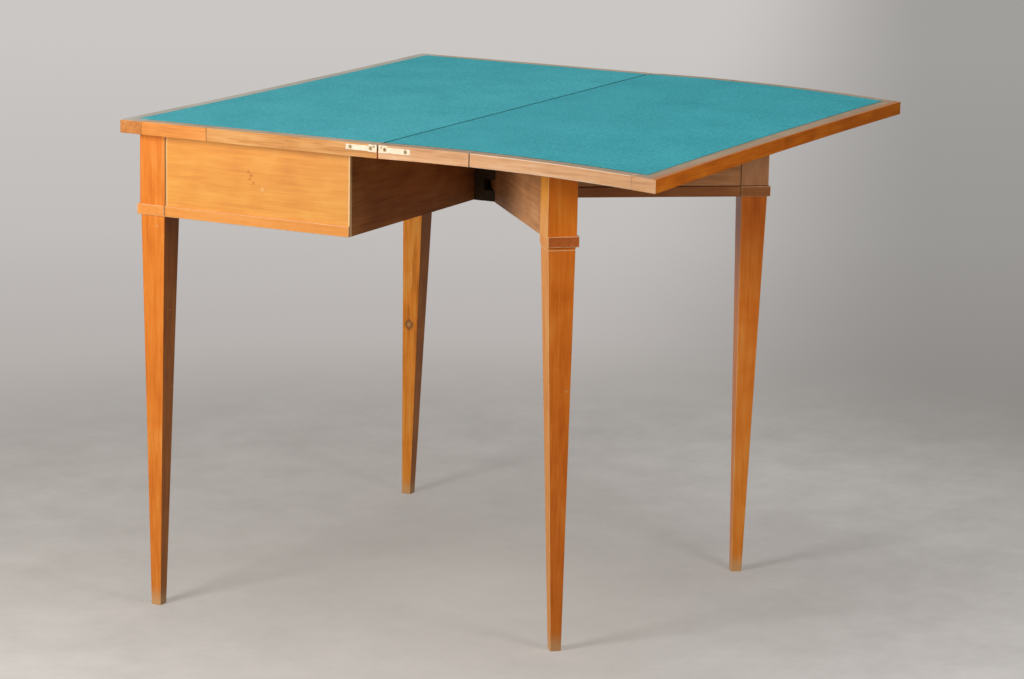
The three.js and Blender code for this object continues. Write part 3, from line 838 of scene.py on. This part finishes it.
# Beside the joint with the leg, and at its rear end, the apron has a pale line.
apron_lines = [
    leg_joint,
    (REARWARD, pale_line_place, PALE_LINE, "#F6BE78"),
    (REARWARD, apron_rear - PALE_END_LINE / 2, PALE_END_LINE, "#FAD8A0"),
]
apron_knots = [
    ((apron_face, -0.2355, 0.6850), 0.0026, FLECK_COLOURS),
    ((apron_face, -0.2310, 0.6800), 0.0032, FLECK_COLOURS),
    ((apron_face, -0.2335, 0.6745), 0.0026, FLECK_COLOURS),
    ((apron_face, -0.2270, 0.6690), 0.0028, FLECK_COLOURS),
    ((apron_face, -0.2120, 0.6610), 0.0070, PIN_KNOT_COLOURS),
]
near_apron_wood = fruitwood(
    "polished_fruitwood_near_apron",
    APRON,
    ALONG_Y,
    seed=7.0,
    knots=apron_knots,
    lines=apron_lines,
)
far_apron_wood = fruitwood(
    "polished_fruitwood_far_apron",
    APRON,
    ALONG_Y,
    seed=8.0,
    lines=apron_lines,
)
front_apron_wood = fruitwood("polished_fruitwood_front_apron", APRON, ALONG_X, seed=9.0)
side_band_wood = fruitwood(
    "polished_fruitwood_apron_band",
    APRON_BAND,
    ALONG_Y,
    seed=10.0,
    grain=BAND_GRAIN,
    lines=[leg_joint],
)
front_band_wood = fruitwood(
    "polished_fruitwood_front_band",
    APRON_BAND,
    ALONG_X,
    seed=11.0,
    grain=BAND_GRAIN,
)
eased("side_apron_near", ARRIS, near_apron_wood, rubbed_and_highlit_edge)
eased("side_apron_far", ARRIS, far_apron_wood, rubbed_and_highlit_edge)
eased("front_apron", ARRIS, front_apron_wood, rubbed_and_highlit_edge)
for side in ("near", "far"):
    eased(f"side_apron_band_{side}", BAND_ARRIS, side_band_wood, rubbed_and_highlit_edge, steps=BAND_STEPS)
eased("front_apron_band", BAND_ARRIS, front_band_wood, rubbed_and_highlit_edge, steps=BAND_STEPS)


# Back apron and knuckle block: darker secondary wood, stained brown and left unpolished. The
# block's stain is darkened almost to black as painted shade. It is cut into fingers that turn
# on two iron pins.
BLOCK_ARRIS = 0.0006
PIN_ARRIS = 0.0004
RUST_SIZE = 11.0
BROWN = ("#824A26", "#AC7038", "#C88A50")
BLOCK_BROWN_AND_SHADE = ("#2A1C12", "#40301F", "#58432C")
back_wood = fruitwood("stained_beech_back_apron", BROWN, ALONG_X, seed=13.0, roughness=0.55)
shaded_block_wood = fruitwood("stained_beech_knuckle_block_in_painted_shade", BLOCK_BROWN_AND_SHADE, ALONG_X, seed=14.0, roughness=0.6)
eased("back_apron", ARRIS, back_wood)
eased("knuckle_block", BLOCK_ARRIS, shaded_block_wood)


def drawn_iron():
    """Drawn iron wire: dark grey, dull, with a little brown rust in patches."""
    material = new_material("drawn_iron_wire")
    place = add_node(material, "ShaderNodeTexCoord", {}, {})
    patches = add_node(
        material,
        "ShaderNodeTexNoise",
        {},
        {"Vector": place.outputs["Object"], "Scale": pattern_scale(RUST_SIZE), "Detail": 4.0},
    )
    tint = add_node(material, "ShaderNodeValToRGB", {}, {"Fac": patches.outputs["Fac"]})
    set_stops(tint, [(0.35, "#4B4744"), (0.7, "#5A4232")])
    shader = add_node(
        material,
        "ShaderNodeBsdfPrincipled",
        {},
        {"Base Color": tint.outputs["Color"], "Metallic": 0.9, "Roughness": 0.5},
    )
    return finish_material(material, shader)


iron_wire = drawn_iron()
for side in ("near", "far"):
    eased(f"knuckle_pin_{side}", PIN_ARRIS, iron_wire)


# Swing legs: each is like a front leg, tenoned to a rail that turns on the knuckle joint. The
# rails are stained brown, and carry the band along their rear faces.
RAIL_ARRIS = 0.0006
RAIL_LENGTH = 0.3619
RAIL = ("#A06C40", "#D0905A", "#E8B27C")
FAR_POST_SHADED = ("#A87448", "#CC8C5C", "#DEA878")
NEAR_POST = ("#E07018", "#F88822", "#FF9E3E")
NEAR_LEG = ("#CA5E10", "#E5781E", "#F39238")
NEAR_LEG_SHEEN = ("#DC8026", "#F2962E", "#FAAE50")
NEAR_POST_SHEEN = ("#E28F38", "#F8A641", "#FDBA64")
FAR_LEG_LOW = ("#E67C1E", "#FB9736", "#FFB45C")
FAR_LEG_SHADED_TOP = ("#CA6010", "#E57720", "#F29438")
FAR_LEG_TURN = (0.05, 0.56)
RAIL_BAND = ("#8E5226", "#AC6A38", "#C4844E")
NEAR_LEG_BAND = ("#A8501C", "#C26428", "#D67C3C")
SHOULDER_LINE = 0.0018
ABOVE_BAND_LINE = 0.0012
ABOVE_BAND_GAP = 0.0003
UNDER_BAND_LINE = 0.0014
UNDER_BAND_GAP = 0.0047
POST_START = 0.0042
POST_END = 0.0032
UPWARD = (0.0, 0.0, 1.0)
band_bottom, band_top = (corner.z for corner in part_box("swing_leg_band_near"))
above_band = (UPWARD, band_top + ABOVE_BAND_GAP, ABOVE_BAND_LINE, "#3A2010")
# The pale line under the near swing leg's band is a painted highlight.
under_band_highlight = (UPWARD, band_bottom - UNDER_BAND_GAP, UNDER_BAND_LINE, "#F0B478")
post = (band_top - POST_START, band_top - POST_END)
joints = {joint["name"]: joint for joint in frame["record"]["behaviour"]["joints"]}


def swing_leg(side, mirror, seed, leg_wood, rail_lines, band_tones, side_wood=None):
    """Dresses one swing leg, its rail and their bands. From its pin the rail runs out sideways,
    turned back by the angle that it stands open, and ends at the leg's shoulder, and the grain
    of rail and bands follows it."""
    swing = joints[f"{side}_leg_swing"]
    opened = -math.radians(swing["range_deg"][0])
    outward = (mirror * math.cos(opened), math.sin(opened), 0.0)
    pin = outward[0] * swing["pos_m"][0] + outward[1] * swing["pos_m"][1]
    along = (0.0, 0.0, -mirror * opened)
    shoulder = (outward, pin + RAIL_LENGTH, SHOULDER_LINE, "#2E1608")
    rail_wood = fruitwood(
        f"stained_beech_{side}_rail",
        RAIL,
        along,
        seed,
        grain=1.1,
        lines=[shoulder] + rail_lines,
        roughness=0.5,
    )
    rail_band_wood = fruitwood(
        f"polished_fruitwood_{side}_rail_band",
        RAIL_BAND,
        along,
        seed + 2,
        grain=BAND_GRAIN,
        lines=[shoulder],
    )
    leg_band_wood = fruitwood(
        f"polished_fruitwood_{side}_swing_leg_band",
        band_tones,
        along,
        seed + 3,
        grain=BAND_GRAIN,
    )
    # A narrow face given its own wood is painted paler as a sheen.
    narrow_side = [((outward[1], -outward[0], 0.0), side_wood)] if side_wood else []
    eased(f"swing_rail_{side}", RAIL_ARRIS, rail_wood)
    eased(f"swing_leg_{side}", ARRIS, leg_wood, rubbed_and_highlit_edge, facing=narrow_side)
    eased(f"swing_rail_band_{side}", BAND_ARRIS, rail_band_wood, steps=BAND_STEPS)
    eased(f"swing_leg_band_{side}", BAND_ARRIS, leg_band_wood, rubbed_and_highlit_edge, steps=BAND_STEPS)


near_swing_wood = fruitwood(
    "polished_fruitwood_near_swing_leg",
    NEAR_LEG,
    UPRIGHT,
    seed=18.0,
    zones=[(*post, NEAR_POST)],
    lines=[under_band_highlight],
    worn=True,
)
# The narrow face of the near swing leg is paler: a painted sheen.
near_side_wood = fruitwood(
    "painted_sheen_fruitwood_near_swing_leg",
    NEAR_LEG_SHEEN,
    UPRIGHT,
    seed=21.0,
    zones=[(*post, NEAR_POST_SHEEN)],
    lines=[under_band_highlight],
    worn=True,
)
# The far swing leg darkens towards the top, and is browner above the band: painted shade under the
# leaf.
far_swing_wood = fruitwood(
    "polished_fruitwood_far_swing_leg",
    FAR_LEG_LOW,
    UPRIGHT,
    seed=24.0,
    zones=[(*FAR_LEG_TURN, FAR_LEG_SHADED_TOP), (*post, FAR_POST_SHADED)],
    lines=[above_band],
    worn=True,
)
swing_leg("near", 1.0, 17.0, near_swing_wood, [], NEAR_LEG_BAND, near_side_wood)
swing_leg("far", -1.0, 23.0, far_swing_wood, [above_band], RAIL_BAND)


# Fixed half of the top: a pine board lipped with fruitwood on three edges. Above, only a narrow
# border of the lippings shows round the baize, greyed by a painted reflection of the pale
# surroundings. Glue blocks hold it to the frame.
BOARD_ARRIS = 0.0005
LIPPING_ARRIS = 0.0006
GLUE_BLOCK_ARRIS = 0.0008
BOARD_JOINT = 0.0016
CORE = ("#8A5F38", "#A97B4D", "#BE9262")
LONG_EDGE = ("#BC7838", "#DE9A52", "#F0B674")
SHORT_EDGE = ("#CE7A30", "#EA9344", "#F6AC62")
FRONT_EDGE = ("#B46A2E", "#CE8442", "#E2A05E")
BORDER_WITH_REFLECTION = ("#A38B6C", "#B9A185", "#CAB49A")
FRONT_BORDER_WITH_REFLECTION = ("#A59C8C", "#BDB5A6", "#CFC8BB")
FOLD_GAP_SHADE = ("#1C4648", "#24585C", "#2E686C")
fixed_joint_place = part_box("fixed_side_lipping_short_near")[1].y
fixed_joint = (REARWARD, fixed_joint_place, BOARD_JOINT, "#42200E")
core_wood = fruitwood("planed_pine_board", CORE, ALONG_X, seed=29.0, roughness=0.6)
border_reflection_wood = fruitwood("reflection_greyed_fruitwood_border", BORDER_WITH_REFLECTION, ALONG_Y, seed=30.0, roughness=0.5)
front_edge_wood = fruitwood("polished_fruitwood_front_lipping", FRONT_EDGE, ALONG_X, seed=31.0)
long_edge_wood = fruitwood(
    "polished_fruitwood_long_lipping",
    LONG_EDGE,
    ALONG_Y,
    seed=32.0,
    grain=1.5,
    lines=[fixed_joint],
)
short_edge_wood = fruitwood(
    "polished_fruitwood_short_lipping",
    SHORT_EDGE,
    ALONG_Y,
    seed=33.0,
    grain=1.4,
)
front_border_reflection_wood = fruitwood(
    "reflection_greyed_fruitwood_front_border",
    FRONT_BORDER_WITH_REFLECTION,
    ALONG_X,
    seed=28.0,
    roughness=0.5,
)
# The boards' top faces show only in the gap at the fold; their dark teal is painted shade.
fold_gap_shade_wood = fruitwood(
    "board_top_painted_fold_gap_shade",
    FOLD_GAP_SHADE,
    ALONG_X,
    seed=36.0,
    roughness=0.7,
    shine=0.05,
)
rim = [(UPWARD, border_reflection_wood)]
eased("fixed_board", BOARD_ARRIS, core_wood, facing=[(UPWARD, fold_gap_shade_wood)])
eased("fixed_front_lipping", ARRIS, front_edge_wood, facing=[(UPWARD, front_border_reflection_wood)])
for side in ("near", "far"):
    eased(f"fixed_side_lipping_long_{side}", LIPPING_ARRIS, long_edge_wood, facing=rim)
    eased(f"fixed_side_lipping_short_{side}", LIPPING_ARRIS, short_edge_wood, facing=rim)
for row in ("front", "back"):
    for side in ("near", "far"):
        eased(f"{row}_glue_block_{side}", GLUE_BLOCK_ARRIS, core_wood)


# Folding leaf: built as the fixed half, but cupped along its depth as it has dried, and with
# paler side lippings and a deep orange free edge. Its back is the show face when it is folded.
LEAF_ARRIS = 0.0011
LEAF_EDGE_ARRIS = 0.0005
RUBBED_STRIP = 0.009
LEAF_EDGE = ("#AA520C", "#D06C14", "#E48624")
LEAF_SIDE = ("#CE9262", "#E9AE7A", "#F6C89C")
LEAF_BACK = ("#B87238", "#D08C4C", "#E2A668")
LEAF_BORDER_WITH_REFLECTION = ("#927A5E", "#A68C70", "#B9A084")
ARRIS_HIGHLIGHT = ("#E6B48C", "#F2C8A4", "#F9D8BC")
NEAR_END = (1.0, 0.0, 0.0)
FAR_END = (-1.0, 0.0, 0.0)
DOWNWARD = (0.0, 0.0, -1.0)
leaf_joint_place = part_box("leaf_side_lipping_short_near")[1].y
leaf_joint = (REARWARD, leaf_joint_place, BOARD_JOINT, "#2C180E")
leaf_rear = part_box("leaf_edge_lipping")[1].y
rubbed_strip = (REARWARD, leaf_rear - RUBBED_STRIP / 2, RUBBED_STRIP, "#B8743C")
leaf_edge_wood = fruitwood(
    "polished_fruitwood_leaf_edge",
    LEAF_EDGE,
    ALONG_X,
    seed=37.0,
    roughness=0.5,
    shine=0.05,
)
leaf_side_wood = fruitwood(
    "polished_fruitwood_leaf_side",
    LEAF_SIDE,
    ALONG_Y,
    seed=38.0,
    grain=1.5,
    lines=[leaf_joint],
)
# The leaf lippings' rounded arrises take a paler wood, a painted highlight.
arris_highlight_wood = fruitwood(
    "painted_highlight_fruitwood_arris",
    ARRIS_HIGHLIGHT,
    ALONG_Y,
    seed=41.0,
    lines=[leaf_joint],
)
# The leaf's borders are greyed by the same painted reflection of the pale surroundings.
leaf_border_reflection_wood = fruitwood(
    "reflection_greyed_fruitwood_leaf_border",
    LEAF_BORDER_WITH_REFLECTION,
    ALONG_X,
    seed=34.0,
    roughness=0.5,
)
free_edge_border_reflection_wood = fruitwood(
    "reflection_greyed_fruitwood_free_edge_border",
    LEAF_BORDER_WITH_REFLECTION,
    ALONG_X,
    seed=35.0,
    lines=[rubbed_strip],
    roughness=0.5,
)
show_wood = fruitwood("polished_fruitwood_leaf_back", LEAF_BACK, ALONG_X, seed=39.0, grain=1.3)
show_face = (DOWNWARD, show_wood)
leaf_edge_faces = [
    (UPWARD, free_edge_border_reflection_wood),
    (NEAR_END, leaf_side_wood),
    (FAR_END, leaf_side_wood),
    show_face,
]
leaf_side_faces = [(UPWARD, leaf_border_reflection_wood), show_face]
eased("leaf_board", BOARD_ARRIS, core_wood, facing=[(UPWARD, fold_gap_shade_wood), show_face])
eased("leaf_edge_lipping", LEAF_EDGE_ARRIS, leaf_edge_wood, facing=leaf_edge_faces)
for side in ("near", "far"):
    for length in ("short", "long"):
        lipping = f"leaf_side_lipping_{length}_{side}"
        eased(lipping, LEAF_ARRIS, leaf_side_wood, arris_highlight_wood, facing=leaf_side_faces)


# Baize: two pieces of blue-green woollen cloth, glued to the boards with a border of wood left
# round them and parted at the fold. Both are cut from flat cloth, and the leaf's follows its cup.
CUT_EDGE = 0.0003
NAP_DEPTH = 0.0008
PILL_SIZE = 4.0
BRUSHED_SIZE = 110.0
BRUSHED_SHARE = 0.35
FIXED_CLOTH = ("#36A0AB", "#46B4BF", "#58C4CE")
LEAF_CLOTH = ("#2F98A4", "#3EADB8", "#4EBDC8")


def woollen_baize(name, tones):
    """Woollen baize: a teal felted face with a short nap, cloudy where it has been brushed both
    ways, and small pills. Pills are drawn 4 mm across, coarser than the real nap."""
    material = new_material(name)
    place = add_node(material, "ShaderNodeTexCoord", {}, {}).outputs["Object"]
    brushed = add_node(
        material,
        "ShaderNodeTexNoise",
        {},
        {"Vector": place, "Scale": pattern_scale(BRUSHED_SIZE), "Detail": 4.0, "Roughness": 0.6},
    )
    nap = add_node(
        material,
        "ShaderNodeTexNoise",
        {},
        {"Vector": place, "Scale": pattern_scale(PILL_SIZE), "Detail": 3.0, "Roughness": 0.7},
    )
    share = add_node(
        material,
        "ShaderNodeMath",
        {"operation": "MULTIPLY_ADD"},
        {0: brushed.outputs["Fac"], 1: BRUSHED_SHARE, 2: -BRUSHED_SHARE / 2},
    )
    both = add_node(
        material,
        "ShaderNodeMath",
        {"operation": "MULTIPLY_ADD", "use_clamp": True},
        {0: nap.outputs["Fac"], 1: 1.0, 2: share.outputs[0]},
    )
    tint = add_node(material, "ShaderNodeValToRGB", {}, {"Fac": both.outputs[0]})
    set_stops(tint, list(zip((0.3, 0.5, 0.7), tones)))
    relief = add_node(
        material,
        "ShaderNodeBump",
        {},
        {"Height": nap.outputs["Fac"], "Strength": 0.5, "Distance": NAP_DEPTH},
    )
    shader = add_node(
        material,
        "ShaderNodeBsdfPrincipled",
        {},
        {"Base Color": tint.outputs["Color"], "Roughness": 0.95, "Normal": relief.outputs["Normal"],
         "Specular IOR Level": 0.05, "Sheen Weight": 0.04, "Sheen Roughness": 0.5},
    )
    return finish_material(material, shader)


fixed_cloth = woollen_baize("woollen_baize_fixed_half", FIXED_CLOTH)
leaf_cloth = woollen_baize("woollen_baize_leaf", LEAF_CLOTH)
for half, baize in (("fixed", fixed_cloth), ("leaf", leaf_cloth)):
    cloth = eased(f"{half}_baize", CUT_EDGE, baize)


# Hinges: cast brass strap plates let in flush with the side edges, each with a narrow tail and
# a wider head, held by two slotted screws, and joined by a link on two pins.
PLATE_ARRIS = 0.0002
SCREW_ARRIS = 0.00015
TARNISH_SIZE = 6.25
PLATE_BRASS = ("#A99A82", "#BCAD97")
SCREW_BRASS = ("#77603C", "#978058")


def worn_brass(name, tones, roughness):
    """Lacquered cast brass, worn pale: smooth, with faint cloudy tarnish, duller on the screws."""
    material = new_material(name)
    place = add_node(material, "ShaderNodeTexCoord", {}, {})
    tarnish = add_node(
        material,
        "ShaderNodeTexNoise",
        {},
        {"Vector": place.outputs["Object"], "Scale": pattern_scale(TARNISH_SIZE), "Detail": 4.0},
    )
    tint = add_node(material, "ShaderNodeValToRGB", {}, {"Fac": tarnish.outputs["Fac"]})
    set_stops(tint, list(zip((0.3, 0.65), tones)))
    shader = add_node(
        material,
        "ShaderNodeBsdfPrincipled",
        {},
        {"Base Color": tint.outputs["Color"], "Metallic": 0.75, "Roughness": roughness},
    )
    return finish_material(material, shader)


plate_brass = worn_brass("lacquered_brass_plate", PLATE_BRASS, 0.4)
screw_brass = worn_brass("lacquered_brass_screw", SCREW_BRASS, 0.45)
for side in ("near", "far"):
    eased(f"hinge_link_{side}", PLATE_ARRIS, plate_brass)
    for half in ("fixed", "leaf"):
        eased(f"hinge_{half}_plate_{side}", PLATE_ARRIS, plate_brass)
        eased(f"hinge_{half}_pin_{side}", PLATE_ARRIS, screw_brass)
        eased(f"hinge_{half}_inner_screw_{side}", SCREW_ARRIS, screw_brass)
        eased(f"hinge_{half}_outer_screw_{side}", SCREW_ARRIS, screw_brass)
